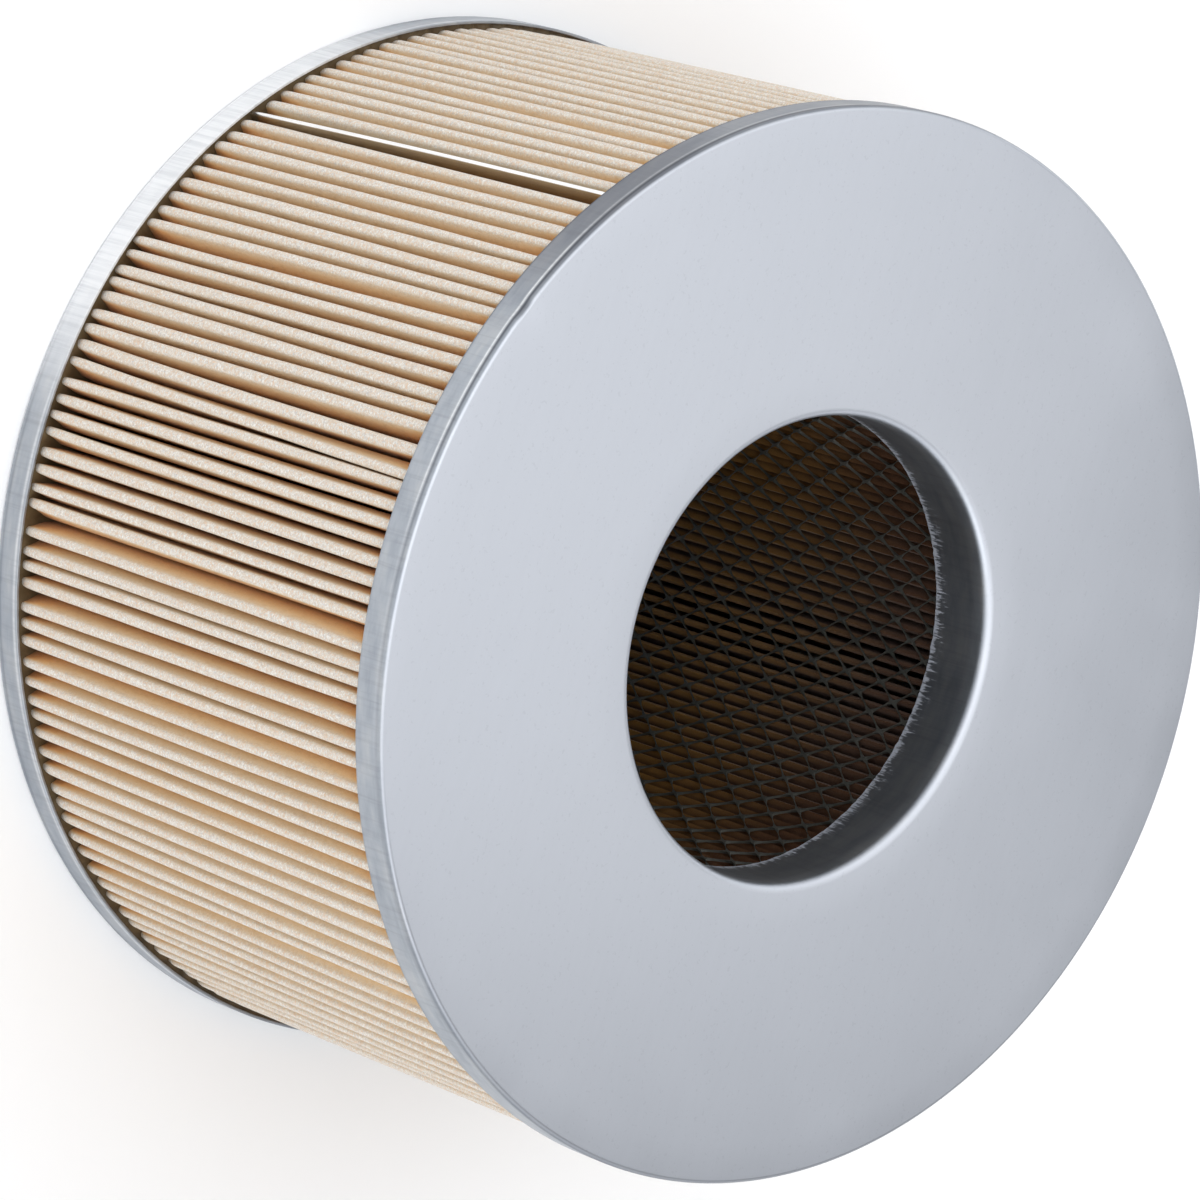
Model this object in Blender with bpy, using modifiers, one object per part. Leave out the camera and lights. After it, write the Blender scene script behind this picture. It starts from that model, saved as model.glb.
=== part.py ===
"""Round air filter element: a ring of pleated paper potted between two drawn sheet-metal end caps.

Frame: metres, +Z along the axis towards the open end, origin at the centre of the closed end's outer face, so
the element stands on its closed end. The -Y side is the front, and the pleat seam is to the left of it.
"""

import math

import bmesh
import bpy
from mathutils import Vector

# Driving dimensions
OUTER_RADIUS = 0.135
LENGTH = 0.155
SHEET = 0.0008
GAP = 0.0003

# End caps
FRONT_RIM_HEIGHT = 0.0095
BACK_RIM_HEIGHT = 0.0090
CORNER_RADIUS = 0.0012
NECK_RADIUS = 0.0586
NECK_DEPTH = 0.0189
LIP_RADIUS = 0.0024
TURN_STEPS = 60
BEND_STEPS = 3

# Adhesive that holds the pleats in the caps
POTTING_TOP = 0.0080
POTTING_RADIUS = OUTER_RADIUS - SHEET - GAP
BACK_POTTING_INNER_RADIUS = NECK_RADIUS - 0.0016
FRONT_POTTING_INNER_RADIUS = NECK_RADIUS + SHEET + GAP

# Pleated paper
PAPER = 0.0007
PLEAT_COUNT = 150
PLEAT_OUTER_RADIUS = 0.988 * OUTER_RADIUS
RIDGE_WIDTH = 0.0022
FOLD_WIDTH = 0.0014
CROWDED_SIDE = math.radians(-110)
CROWDING = 0.18

# Inner tube of expanded metal
TUBE_RADIUS = NECK_RADIUS + SHEET + 0.0009
TUBE_THICKNESS = 0.0012
STRAND_WIDTH = 0.0024
MESH_COLUMNS = 16
MESH_ROWS = 5
PLEAT_INNER_RADIUS = TUBE_RADIUS + TUBE_THICKNESS + 0.0005

# Metal channel that closes the pleated strip into a ring
SEAM_ANGLE = math.radians(-131.2)
CLIP_SHEET = 0.0004
CLIP_DEPTH = 0.0065
SEAM_RIDGE_WIDTH = 0.0010
CLIP_INNER_WIDTH = SEAM_RIDGE_WIDTH + 0.0007

# Heights between which the paper, tube and channel stand
STACK_BOTTOM = POTTING_TOP + GAP
STACK_TOP = LENGTH - POTTING_TOP - GAP

TURN = 2 * math.pi


def clear_scene():
    for old in list(bpy.data.objects):
        bpy.data.objects.remove(old, do_unlink=True)


def make_collection(name):
    collection = bpy.data.collections.new(name)
    bpy.context.scene.collection.children.link(collection)
    return collection


def make_material(name, colour, roughness, metallic):
    material = bpy.data.materials.new(name)
    material.use_nodes = True
    shader = material.node_tree.nodes["Principled BSDF"]
    shader.inputs["Base Color"].default_value = (*colour, 1.0)
    shader.inputs["Roughness"].default_value = roughness
    shader.inputs["Metallic"].default_value = metallic
    material.diffuse_color = (*colour, 1.0)
    return material


def arc(centre, radius, start, end):
    """Points on an arc in the profile plane, from one angle in degrees to another."""
    points = []
    for step in range(BEND_STEPS + 1):
        angle = math.radians(start + (end - start) * step / BEND_STEPS)
        points.append((centre[0] + radius * math.cos(angle), centre[1] + radius * math.sin(angle)))
    return points


def add_object(name, data, collection, material):
    part = bpy.data.objects.new(name, data)
    collection.objects.link(part)
    part.data.materials.append(material)
    return part


def bake(part):
    """Swaps a part's curve or modifiers for the mesh they make, welded and shaded."""
    collection = part.users_collection[0]
    name, material = part.name, part.data.materials[0]
    depsgraph = bpy.context.evaluated_depsgraph_get()
    mesh = bpy.data.meshes.new_from_object(part.evaluated_get(depsgraph))
    bpy.data.objects.remove(part, do_unlink=True)
    solid = bmesh.new()
    solid.from_mesh(mesh)
    bmesh.ops.remove_doubles(solid, verts=solid.verts, dist=1e-6)
    bmesh.ops.recalc_face_normals(solid, faces=solid.faces)
    solid.to_mesh(mesh)
    solid.free()
    mesh.name = name
    mesh.materials.clear()
    mesh.shade_smooth()
    mesh.set_sharp_from_angle(angle=math.radians(35))
    return add_object(name, mesh, collection, material)


def turned(name, profile, closed, collection, material):
    """A profile of (radius, height) points turned about Z. It runs down the outer side."""
    mesh = bpy.data.meshes.new(name)
    points = [(radius, 0.0, height) for radius, height in profile]
    edges = [(i, i + 1) for i in range(len(points) - 1)]
    if closed:
        edges.append((len(points) - 1, 0))
    mesh.from_pydata(points, edges, [])
    part = add_object(name, mesh, collection, material)
    screw = part.modifiers.new("turn", "SCREW")
    screw.steps = TURN_STEPS
    screw.render_steps = TURN_STEPS
    screw.use_merge_vertices = True
    screw.merge_threshold = 0.00001
    screw.use_smooth_shade = True
    return bake(part)


def extruded(name, outlines, bottom, top, collection, material):
    """Closed outlines in XY, the first around the others, raised from one height to the other."""
    curve = bpy.data.curves.new(name, "CURVE")
    curve.dimensions = "2D"
    curve.fill_mode = "BOTH"
    curve.extrude = (top - bottom) / 2
    for outline in outlines:
        spline = curve.splines.new("POLY")
        spline.points.add(len(outline) - 1)
        for point, (x, y) in zip(spline.points, outline):
            point.co = (x, y, 0.0, 1.0)
        spline.use_cyclic_u = True
    part = add_object(name, curve, collection, material)
    part.location.z = (top + bottom) / 2
    height = part.location.copy()
    solid = bake(part)
    solid.location = height
    return solid


def make_front_end_cap(collection, steel):
    """Open cap: rim, rounded corner, flat ring, and a hole whose lip is drawn inwards into a neck."""
    corner = (OUTER_RADIUS - CORNER_RADIUS, LENGTH - CORNER_RADIUS)
    lip = (NECK_RADIUS + LIP_RADIUS, LENGTH - LIP_RADIUS)
    rim_edge = LENGTH - FRONT_RIM_HEIGHT
    neck_edge = LENGTH - NECK_DEPTH
    profile = arc(corner, CORNER_RADIUS, 90, 0)
    profile += [(OUTER_RADIUS, rim_edge), (OUTER_RADIUS - SHEET, rim_edge)]
    profile += arc(corner, CORNER_RADIUS - SHEET, 0, 90)
    profile += arc(lip, LIP_RADIUS - SHEET, 90, 180)
    profile += [(NECK_RADIUS + SHEET, neck_edge), (NECK_RADIUS, neck_edge)]
    profile += arc(lip, LIP_RADIUS, 180, 90)
    return turned("front_end_cap", profile, True, collection, steel)


def make_back_end_cap(collection, steel):
    """Closed cap: a plain disc with a rounded corner and a rim."""
    corner = (OUTER_RADIUS - CORNER_RADIUS, CORNER_RADIUS)
    profile = [(0.0, SHEET)]
    profile += arc(corner, CORNER_RADIUS - SHEET, -90, 0)
    profile += [(OUTER_RADIUS - SHEET, BACK_RIM_HEIGHT), (OUTER_RADIUS, BACK_RIM_HEIGHT)]
    profile += arc(corner, CORNER_RADIUS, 0, -90)
    profile += [(0.0, 0.0)]
    return turned("back_end_cap", profile, False, collection, steel)


def make_back_potting(collection, adhesive):
    """Ring of set adhesive in the closed cap, under the ends of the pleats. It fills the cap's round corner."""
    bottom = SHEET + GAP
    profile = [
        (POTTING_RADIUS, POTTING_TOP),
        (POTTING_RADIUS, CORNER_RADIUS),
        (OUTER_RADIUS - CORNER_RADIUS, bottom),
        (BACK_POTTING_INNER_RADIUS, bottom),
        (BACK_POTTING_INNER_RADIUS, POTTING_TOP),
    ]
    return turned("back_potting", profile, True, collection, adhesive)


def make_front_potting(collection, adhesive):
    """The same ring in the open cap. Its inner edge lies against the neck and behind the lip."""
    top = LENGTH - SHEET - GAP
    bottom = LENGTH - POTTING_TOP
    profile = [
        (OUTER_RADIUS - CORNER_RADIUS, top),
        (POTTING_RADIUS, LENGTH - CORNER_RADIUS),
        (POTTING_RADIUS, bottom),
        (FRONT_POTTING_INNER_RADIUS, bottom),
        (FRONT_POTTING_INNER_RADIUS, LENGTH - LIP_RADIUS),
        (NECK_RADIUS + LIP_RADIUS, top),
    ]
    return turned("front_potting", profile, True, collection, adhesive)


def crowded(angle):
    """Moves an angle so that evenly spaced ones draw together on the crowded side."""
    return angle - CROWDING * math.sin(angle - CROWDED_SIDE)


def pleat_angle(number):
    """Angle of a ridge. Ridge 0 is the seam; halves are the valleys between ridges."""
    even = SEAM_ANGLE + TURN * number / PLEAT_COUNT
    return SEAM_ANGLE + crowded(even) - crowded(SEAM_ANGLE)


def at(radius, angle, sideways=0.0):
    """Point in XY at a radius and angle, moved sideways round the ring."""
    x = radius * math.cos(angle) - sideways * math.sin(angle)
    y = radius * math.sin(angle) + sideways * math.cos(angle)
    return (x, y)


def make_pleated_media(collection, paper):
    """One folded strip of paper. Its two ends meet in the seam ridge, under the channel."""
    outside = []
    inside = []
    for number in range(PLEAT_COUNT):
        ridge = pleat_angle(number)
        valley = pleat_angle(number + 0.5)
        radius, width = PLEAT_OUTER_RADIUS, RIDGE_WIDTH
        if number == 0:
            radius, width = PLEAT_OUTER_RADIUS - CLIP_SHEET - GAP, SEAM_RIDGE_WIDTH
        outside.append(at(radius, ridge, -width / 2))
        outside.append(at(radius, ridge, width / 2))
        outside.append(at(PLEAT_INNER_RADIUS + PAPER, valley))
        inside.append(at(radius - PAPER, ridge))
        inside.append(at(PLEAT_INNER_RADIUS, valley, -FOLD_WIDTH / 2))
        inside.append(at(PLEAT_INNER_RADIUS, valley, FOLD_WIDTH / 2))
    return extruded("pleated_media", [outside, inside], STACK_BOTTOM, STACK_TOP, collection, paper)


def make_pleat_seam_clip(collection, steel):
    """U channel pressed over the seam ridge for the whole height of the pleats."""
    crown = PLEAT_OUTER_RADIUS
    foot = crown - CLIP_DEPTH
    inner = CLIP_INNER_WIDTH / 2
    outer = inner + CLIP_SHEET
    corners = [
        (crown, -outer),
        (crown, outer),
        (foot, outer),
        (foot, inner),
        (crown - CLIP_SHEET, inner),
        (crown - CLIP_SHEET, -inner),
        (foot, -inner),
        (foot, -outer),
    ]
    outline = [at(radius, SEAM_ANGLE, sideways) for radius, sideways in corners]
    return extruded("pleat_seam_clip", [outline], STACK_BOTTOM, STACK_TOP, collection, steel)


def make_inner_support_tube(collection, steel):
    """Tube of diamond mesh. The half diamonds along its two ends stay closed, as end bands."""
    half_columns = 2 * MESH_COLUMNS
    half_rows = 2 * MESH_ROWS
    lattice = bmesh.new()
    knots = {}
    for column in range(half_columns):
        for row in range(half_rows + 1):
            if (column + row) % 2 and 0 < row < half_rows:
                continue
            x, y = at(TUBE_RADIUS, TURN * column / half_columns)
            z = STACK_BOTTOM + (STACK_TOP - STACK_BOTTOM) * row / half_rows
            knots[column, row] = lattice.verts.new((x, y, z))
    diamonds = []
    for column in range(half_columns):
        left, right = (column - 1) % half_columns, (column + 1) % half_columns
        for row in range(half_rows + 1):
            if (column + row) % 2 == 0:
                continue
            below, above = max(row - 1, 0), min(row + 1, half_rows)
            places = [(left, row), (column, below), (right, row), (column, above)]
            face = lattice.faces.new([knots[place] for place in places])
            if 0 < row < half_rows:
                diamonds.append(face)
    lattice.normal_update()
    bmesh.ops.inset_individual(lattice, faces=diamonds, thickness=STRAND_WIDTH / 2, use_even_offset=True)
    bmesh.ops.delete(lattice, geom=diamonds, context="FACES")
    mesh = bpy.data.meshes.new("inner_support_tube")
    lattice.to_mesh(mesh)
    lattice.free()
    part = add_object("inner_support_tube", mesh, collection, steel)
    wall = part.modifiers.new("wall", "SOLIDIFY")
    wall.thickness = TUBE_THICKNESS
    wall.offset = 1.0
    wall.use_even_offset = True
    return bake(part)


def build():
    clear_scene()
    collection = make_collection("air_filter")
    cap_steel = make_material("galvanised_sheet", (0.62, 0.65, 0.70), 0.38, 0.9)
    back_steel = make_material("back_sheet", (0.58, 0.61, 0.66), 0.40, 0.9)
    clip_steel = make_material("bright_strip", (0.72, 0.72, 0.72), 0.25, 1.0)
    mesh_steel = make_material("expanded_steel", (0.16, 0.16, 0.15), 0.55, 0.8)
    paper = make_material("filter_paper", (0.78, 0.68, 0.55), 0.95, 0.0)
    front_adhesive = make_material("front_adhesive", (0.42, 0.30, 0.18), 0.55, 0.0)
    back_adhesive = make_material("back_adhesive", (0.42, 0.30, 0.18), 0.55, 0.0)
    make_front_end_cap(collection, cap_steel)
    make_back_end_cap(collection, back_steel)
    make_front_potting(collection, front_adhesive)
    make_back_potting(collection, back_adhesive)
    make_pleated_media(collection, paper)
    make_pleat_seam_clip(collection, clip_steel)
    make_inner_support_tube(collection, mesh_steel)


build()
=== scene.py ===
"""Round air filter element, dressed for its picture: fine pleats, drawn caps and expanded metal.

Frame: metres, +Z along the axis towards the open end, origin at the centre of the closed end's face.
Angles round the filter are counted from +X; the camera looks from the -Y side and above.
"""

import math
import random

import bmesh
import bpy
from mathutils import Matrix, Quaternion, Vector, noise


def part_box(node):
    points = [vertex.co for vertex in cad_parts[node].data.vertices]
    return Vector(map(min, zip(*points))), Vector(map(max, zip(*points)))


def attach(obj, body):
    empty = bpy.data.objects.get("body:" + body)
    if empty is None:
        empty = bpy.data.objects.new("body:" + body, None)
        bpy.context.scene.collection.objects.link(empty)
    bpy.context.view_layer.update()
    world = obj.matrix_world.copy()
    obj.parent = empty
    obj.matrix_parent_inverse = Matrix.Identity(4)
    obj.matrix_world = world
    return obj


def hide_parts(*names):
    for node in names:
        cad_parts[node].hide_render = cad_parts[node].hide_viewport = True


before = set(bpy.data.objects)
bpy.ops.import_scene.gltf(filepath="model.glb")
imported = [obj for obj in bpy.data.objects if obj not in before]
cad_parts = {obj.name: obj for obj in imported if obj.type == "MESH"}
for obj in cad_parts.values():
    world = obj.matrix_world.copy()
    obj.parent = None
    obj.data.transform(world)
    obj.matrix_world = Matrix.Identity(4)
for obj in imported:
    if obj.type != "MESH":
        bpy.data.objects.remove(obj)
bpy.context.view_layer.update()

TURN = 2 * math.pi
MM = 0.001
WELD = 1e-6

# Sizes that the CAD frame gives; the front rim's height is a share of the length
cap_low, cap_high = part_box("front_end_cap")
tube_low, tube_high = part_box("inner_support_tube")
clip_low, clip_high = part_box("pleat_seam_clip")
back_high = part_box("back_end_cap")[1]
potting_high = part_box("back_potting")[1]

OUTER_RADIUS = cap_high.x
LENGTH = cap_high.z
NECK_EDGE = cap_low.z
BACK_RIM_EDGE = back_high.z
FRONT_RIM_HEIGHT = 0.0613 * LENGTH
FRONT_RIM_EDGE = LENGTH - FRONT_RIM_HEIGHT
POTTING_TOP = potting_high.z
TUBE_RADIUS = tube_high.x
clip_middle = (clip_low + clip_high) / 2
SEAM_ANGLE = math.atan2(clip_middle.y, clip_middle.x)

# Sheet metal
SHEET = 0.8 * MM
CORNER_RADIUS = 0.0089 * OUTER_RADIUS
NECK_RADIUS = 0.4341 * OUTER_RADIUS
LIP_RADIUS = 2.4 * MM
EDGE_ROUND = 0.15 * MM
CAP_STEPS = 360
BEND_STEPS = 10
INSIDE_BEND_STEPS = 4
RIM_STEPS = 24
NECK_STEPS = 4
FACE_STEPS = 8
NECK_EDGE_BAND = 0.5 * MM
NECK_EDGE_RINGS = (0.0, 1.0 * MM, 2.2 * MM)

# Small faults of the front cap: a dent (reaches in radians round the rim) and the torn edge of the neck
DENT_ANGLE = math.radians(-114.5)
DENT_DEPTH = 0.35 * MM
DENT_SINKING = 0.6
DENT_REACH = 0.016
DENT_SHADE_REACH = 0.014
TORN_EDGE = 0.02 * MM
COARSE_TEETH = 0.22 * MM
COARSE_TEETH_PLACE = 90
FINE_TEETH = 0.18 * MM
FINE_TEETH_PLACE = 260

# Painted lines and bands round the caps: painted dark lines, painted highlight lines and painted shade.
# Depths count from the flat face, only BACK_HIGHLIGHT_DEPTH from the rim's edge.
# A point inside MID_FACE_RADIUS is on the lip or the neck, any other is on the rim.
MID_FACE_RADIUS = 0.7 * OUTER_RADIUS
DRAWN_FADE = 0.5 * MM
DARK_LINE_DEPTH = 1.45 * MM
DARK_LINE_WIDTH = 0.48 * MM
HIGHLIGHT_LINE_DEPTH = 2.5 * MM
HIGHLIGHT_LINE_WIDTH = 0.34 * MM
BURR_REACH = 3.2 * MM
DENT_SHADE_DEPTHS = (2.0 * MM, 3.4 * MM)
BACK_DARK_LINE_DEPTH = 1.9 * MM
BACK_HIGHLIGHT_DEPTH = 1.2 * MM
BACK_LINE_WIDTH = 0.5 * MM

# Stretches of the rims and the lip where painted shade, painted dark lines and painted highlights show:
# (middle, reach) in degrees
PAINTED_LINES_RIM = (-162, 72)
RIM_EDGE_SHADOW = (-150, 48)
HIGHLIGHT_LINE_RIM = (-108, 17)
SHADED_RIM_PAINT = (-150, 33)
DARKEST_SHADE_PAINT = (-129, 14)
CORNER_SHADE_PAINT = (10, 70)
LIP_SHADE_PAINT = (55, 45)
BACK_RIM_HIGHLIGHT = (-122, 28)

# Pleats: outer ridges and inner folds, closer together on the crowded side
PLEAT_COUNT = 150
PAPER = 0.6 * MM
PLEAT_RADIUS = 0.988 * OUTER_RADIUS
FOLD_RADIUS = TUBE_RADIUS + 0.4 * MM
FOLD_DEPTH = PLEAT_RADIUS - FOLD_RADIUS - 2 * MM
CROWDED_SIDE = math.radians(-110)
CROWDING = 0.18

# Section of a pleat: its ridge, and walls that spread below it; shoulder angles in degrees
RIDGE_HALF = 1.28 * MM
RIDGE_ROUND = 1.10 * MM
ROUNDEST_RIDGE = 0.9
RIDGE_SINKING = 0.1 * MM
SHOULDER_ANGLES = (22, 44, 66, 90)
SPREAD_REACH = 7.0 * MM
SPREAD_CURVE = 0.7
VALLEY_HALF = 0.26 * MM
ROOT_HALF = 0.25 * MM
ROOT_ROUND = 0.5 * MM
WALL_STEPS = 8
SEAM_RIDGE_HALF = 0.3 * MM
SEAM_RIDGE_DROP = 5.0 * MM

# Ends of the pleats: buried in adhesive, pinched above it, with rounded tips
BURIED_END = 1.5 * MM
PINCH_REACH = 4.0 * MM
PINCH_NARROWING = 0.30
PINCH_DROP = 0.2 * MM
TIP_DEPTH = 1.2 * MM
TIP_DROP = 0.4 * MM
TIP_REACH = 0.7 * MM
LEVEL_STEPS = 9
LEVEL_CROWDING = 2.4

# Painted shade on the paper: browner below the ridges near both ends, where the pinched pleats lie in
# shade, and darker inner folds towards the open end
PINCH_SHADE_DEPTHS = (0.8 * MM, 3.0 * MM)
PINCH_SHADING = 0.45
SHADED_SHARES = (0.35, 0.85)
SHADING = 0.045

# Unevenness of the pleats: a wander of each ridge along its height, and how much each habit varies
RIDGE_WANDER = 0.14 * MM
WANDER_STRIDE = 7.3
WANDER_WAVES = 6.0
HABIT_SPREADS = {
    "shift": 0.20 * MM,
    "lean": 0.22 * MM,
    "bow": 0.18 * MM,
    "wide": 0.10 * MM,
    "rise": 0.12 * MM,
    "valley": 0.16 * MM,
}

# Valleys that stand open where the paper was pushed aside: (place in degrees, width)
OPEN_VALLEYS = [
    (-97.5, 1.8 * MM),
    (-78.3, 2.6 * MM),
    (-70.0, 1.0 * MM),
    (-63.8, 1.2 * MM),
    (-143.0, 0.8 * MM),
]
PUSH_REACH = 12 * MM
PUSH_START = 0.8 * MM

# Places where the ridges lean to one side at the open end: (place, reach in degrees, lean over the height)
LEANS = [
    (-96.0, 1.3, 3.4 * MM),
    (-89.0, 4.5, 2.2 * MM),
    (-111.0, 2.2, -1.7 * MM),
    (-28.0, 28.0, 6.2 * MM),
]

# Seam channel
CHANNEL_CROWN = PLEAT_RADIUS + 0.1 * MM
CHANNEL_HALF = 0.62 * MM
CHANNEL_SHEET = 0.3 * MM
CHANNEL_DEPTH = 6.0 * MM
CHANNEL_BEND = 0.58 * MM
CHANNEL_BEND_STEPS = 6
CHANNEL_BURIED = 1.0 * MM
CHANNEL_LEVELS = 24
CHANNEL_LEAN = 1.0 * MM
CHANNEL_BOW = 0.5 * MM
CHANNEL_SHADE_DEPTHS = (0.5 * MM, 0.9 * MM)

# Expanded metal tube: diamonds round it and along it
MESH_COLUMNS = 47
MESH_ROWS = 10.6
STRAND = 0.64 * MM
STRAND_REACH = 0.7
STRAND_RISE = 0.9
KNOT = 0.8 * MM
MESH_THICKNESS = 0.6 * MM
STRAND_SLANT = 0.15 * MM
TUBE_WAVE = 0.25 * MM
WAVES_AROUND = 3.0
WAVES_ALONG = 30
HOLE_ROUNDNESS = 1.6

# Rings of adhesive: steps per pleat, and shares of the ring's width
POTTING_STEPS = 6
POTTING_SHARES = (0.25, 0.5, 0.75, 0.92, 0.98, 1.0)
POTTING_LOW_EDGE = 0.5 * MM
POTTING_CLIMB = 0.7 * MM
POTTING_ROUGHNESS = 0.35 * MM
POTTING_GRAIN = 400
POTTING_SINKING = 0.8 * MM
POTTING_BURIED = 2.0 * MM
BACK_POTTING_RADIUS = NECK_RADIUS - 1.6 * MM
FRONT_POTTING_RADIUS = NECK_RADIUS + SHEET + 0.3 * MM

# Floor
FLOOR_SIDE = 6.0
FLOOR_CELLS = 8

# Surroundings: the patch's direction is (azimuth, elevation) in degrees, its edges are cosines from it
DARK_PATCH = (90, 48)
PATCH_EDGE = 0.68
PATCH_CORE = 0.90
PATCH_STRENGTH = 0.28
SKY_STRENGTH = 1.10
SKY_COLOUR = (0.97, 0.98, 1.0, 1.0)

# Camera
VIEW_ELEVATION = math.radians(47.5)
VIEW_AZIMUTH = math.radians(-0.2)
VIEW_ROLL = math.radians(107.64)
VIEW_DISTANCE = 1.691
FOCAL_LENGTH = 200.0
SENSOR_WIDTH = 36.0
AIM_OFFSET = Vector((3.7, -0.9, -0.9)) * MM

random.seed(41)


# ---------------------------------------------------------------- mesh helpers


def add_mesh(name, points, faces, material, smooth_angle=35):
    """A named piece; edges sharper than smooth_angle (in degrees) stay sharp."""
    mesh = bpy.data.meshes.new(name)
    mesh.from_pydata(points, [], faces)
    mesh.validate()
    mesh.shade_smooth()
    mesh.set_sharp_from_angle(angle=math.radians(smooth_angle))
    mesh.materials.append(material)
    piece = bpy.data.objects.new(name, mesh)
    bpy.context.scene.collection.objects.link(piece)
    return piece


def face_outwards(piece):
    """Welds the mesh and turns its faces outwards."""
    solid = bmesh.new()
    solid.from_mesh(piece.data)
    bmesh.ops.remove_doubles(solid, verts=solid.verts, dist=WELD)
    bmesh.ops.recalc_face_normals(solid, faces=solid.faces)
    solid.to_mesh(piece.data)
    solid.free()


def arc(centre, radius, start, end, steps=BEND_STEPS):
    """Points of a bend in the (radius, height) plane, between two angles in degrees."""
    points = []
    for step in range(steps + 1):
        angle = math.radians(start + (end - start) * step / steps)
        points.append((centre[0] + radius * math.cos(angle), centre[1] + radius * math.sin(angle)))
    return points


def straight(start, end, steps):
    """Points between two points, both left out."""
    points = []
    for step in range(1, steps):
        share = step / steps
        points.append(tuple(a + (b - a) * share for a, b in zip(start, end)))
    return points


def at(radius, angle, sideways=0.0):
    """Place in XY at a radius and angle, moved sideways round the ring."""
    x = radius * math.cos(angle) - sideways * math.sin(angle)
    y = radius * math.sin(angle) + sideways * math.cos(angle)
    return x, y


def stacked_faces(layers, around):
    """Faces between closed rings of points that stand one above the other."""
    faces = []
    for layer in range(layers):
        low, high = layer * around, (layer + 1) * around
        for i in range(around):
            j = (i + 1) % around
            faces.append((low + i, low + j, high + j, high + i))
    return faces


def swept_faces(steps, count, closed=True):
    """Faces between the profiles of a turned body, each of count points; a closed profile is a loop."""
    faces = []
    for step in range(steps):
        here, there = step * count, (step + 1) % steps * count
        for i in range(count if closed else count - 1):
            j = (i + 1) % count
            faces.append((here + i, here + j, there + j, there + i))
    return faces


def turned(name, profile, material, closed=True, shape=None):
    """A (radius, height) profile turned about Z. The shape function may move each point a little."""
    points = []
    for step in range(CAP_STEPS):
        angle = TURN * step / CAP_STEPS
        for radius, height in profile:
            if shape:
                radius, height = shape(radius, height, angle)
            points.append((*at(radius, angle), height))
    faces = swept_faces(CAP_STEPS, len(profile), closed)
    piece = add_mesh(name, points, faces, material)
    face_outwards(piece)
    return piece


# ---------------------------------------------------------------- materials


class Nodes:
    """Short words for building a node material."""

    def __init__(self, name):
        self.material = bpy.data.materials.new(name)
        self.material.use_nodes = True
        self.tree = self.material.node_tree
        self.shader = self.tree.nodes["Principled BSDF"]

    def add(self, kind, **values):
        node = self.tree.nodes.new(kind)
        for key, value in values.items():
            setattr(node, key, value)
        return node

    def link(self, source, target):
        self.tree.links.new(source, target)

    def place(self, stretch=(1.0, 1.0, 1.0)):
        """The object's own coordinates in metres, stretched per axis."""
        coordinates = self.add("ShaderNodeTexCoord")
        mapping = self.add("ShaderNodeMapping")
        mapping.inputs["Scale"].default_value = stretch
        self.link(coordinates.outputs["Object"], mapping.inputs["Vector"])
        return mapping.outputs["Vector"]

    def noise(self, place, scale, detail=2.0, roughness=0.5):
        texture = self.add("ShaderNodeTexNoise")
        texture.inputs["Scale"].default_value = scale
        texture.inputs["Detail"].default_value = detail
        texture.inputs["Roughness"].default_value = roughness
        self.link(place, texture.inputs["Vector"])
        return texture.outputs["Fac"]

    def ramp(self, value, stops):
        ramp = self.add("ShaderNodeValToRGB")
        elements = ramp.color_ramp.elements
        while len(elements) < len(stops):
            elements.new(0.5)
        for element, (position, colour) in zip(elements, stops):
            element.position = position
            element.color = (*colour, 1.0)
        self.link(value, ramp.inputs["Fac"])
        return ramp.outputs["Color"]

    def spread(self, value, low, high, new_low=0.0, new_high=1.0):
        node = self.add("ShaderNodeMapRange")
        node.inputs["From Min"].default_value = low
        node.inputs["From Max"].default_value = high
        node.inputs["To Min"].default_value = new_low
        node.inputs["To Max"].default_value = new_high
        self.link(value, node.inputs["Value"])
        return node.outputs["Result"]

    def mix(self, share, first, second):
        """Mixes two colours; each is a socket or a plain colour, and share a socket."""
        node = self.add("ShaderNodeMix", data_type="RGBA")
        for value, socket in ((share, node.inputs[0]), (first, node.inputs[6]), (second, node.inputs[7])):
            if isinstance(value, bpy.types.NodeSocket):
                self.link(value, socket)
            else:
                socket.default_value = (*value, 1.0)
        return node.outputs[2]

    def sum(self, first, second, operation="ADD"):
        node = self.add("ShaderNodeMath", operation=operation)
        for value, socket in ((first, node.inputs[0]), (second, node.inputs[1])):
            if isinstance(value, bpy.types.NodeSocket):
                self.link(value, socket)
            else:
                socket.default_value = value
        return node.outputs[0]

    def bump(self, height, strength, distance, below=None):
        node = self.add("ShaderNodeBump")
        node.inputs["Strength"].default_value = strength
        node.inputs["Distance"].default_value = distance
        self.link(height, node.inputs["Height"])
        if below is not None:
            self.link(below, node.inputs["Normal"])
        return node.outputs["Normal"]

    def attribute(self, name):
        return self.add("ShaderNodeAttribute", attribute_name=name).outputs["Fac"]

    def finish(self, **sockets):
        """Sets or links the shader's sockets, named with underscores for spaces."""
        for name, value in sockets.items():
            socket = self.shader.inputs[name.replace("_", " ")]
            if isinstance(value, bpy.types.NodeSocket):
                self.link(value, socket)
            else:
                socket.default_value = value
        return self.material


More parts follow.
